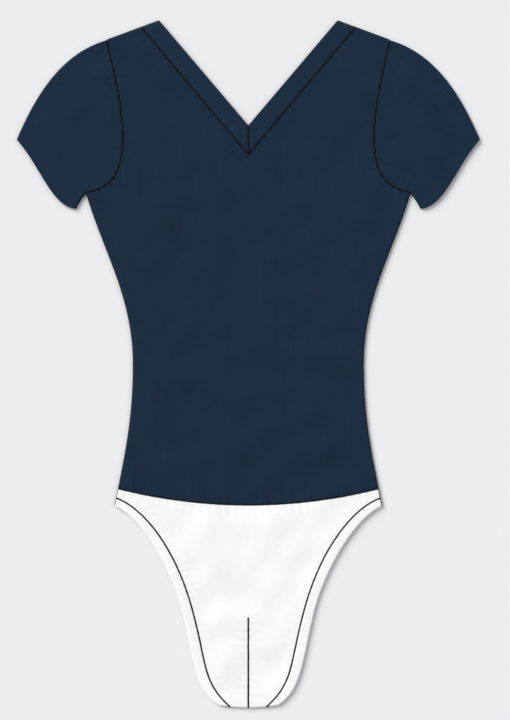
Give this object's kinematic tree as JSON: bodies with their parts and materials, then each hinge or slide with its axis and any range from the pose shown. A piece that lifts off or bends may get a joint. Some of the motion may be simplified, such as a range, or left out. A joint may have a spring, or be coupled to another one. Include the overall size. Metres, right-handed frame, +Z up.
{
  "type": "short-sleeved leotard",
  "caption": "V-neck leotard with short sleeves and a contrasting brief, laid flat with its front up.",
  "frame": {"origin": "on the surface the garment lies on, under the middle of its outline", "axes": "+Y from the crotch towards the neck, +Z up out of the front of the garment, +X towards the wearer's left"},
  "size_m": [0.526, 0.7801, 0.0046],
  "materials": {
    "dark_knit": "matt jersey knit with elastane",
    "dark_band": "the same jersey, folded double",
    "white_knit": "matt white jersey knit with elastane",
    "white_binding": "the same white jersey, folded double",
    "dark_thread": "near-black polyester sewing thread"
  },
  "bodies": {
    "root": {"front_body": "dark_knit", "back_body": "dark_knit", "sleeve_left": "dark_knit", "sleeve_right": "dark_knit", "neckband_front_left": "dark_band", "neckband_front_right": "dark_band", "neckband_back_left": "dark_band", "neckband_back_right": "dark_band", "brief_front": "white_knit", "brief_back": "white_knit", "leg_binding_left": "white_binding", "leg_binding_right": "white_binding"}
  },
  "joints": []
}
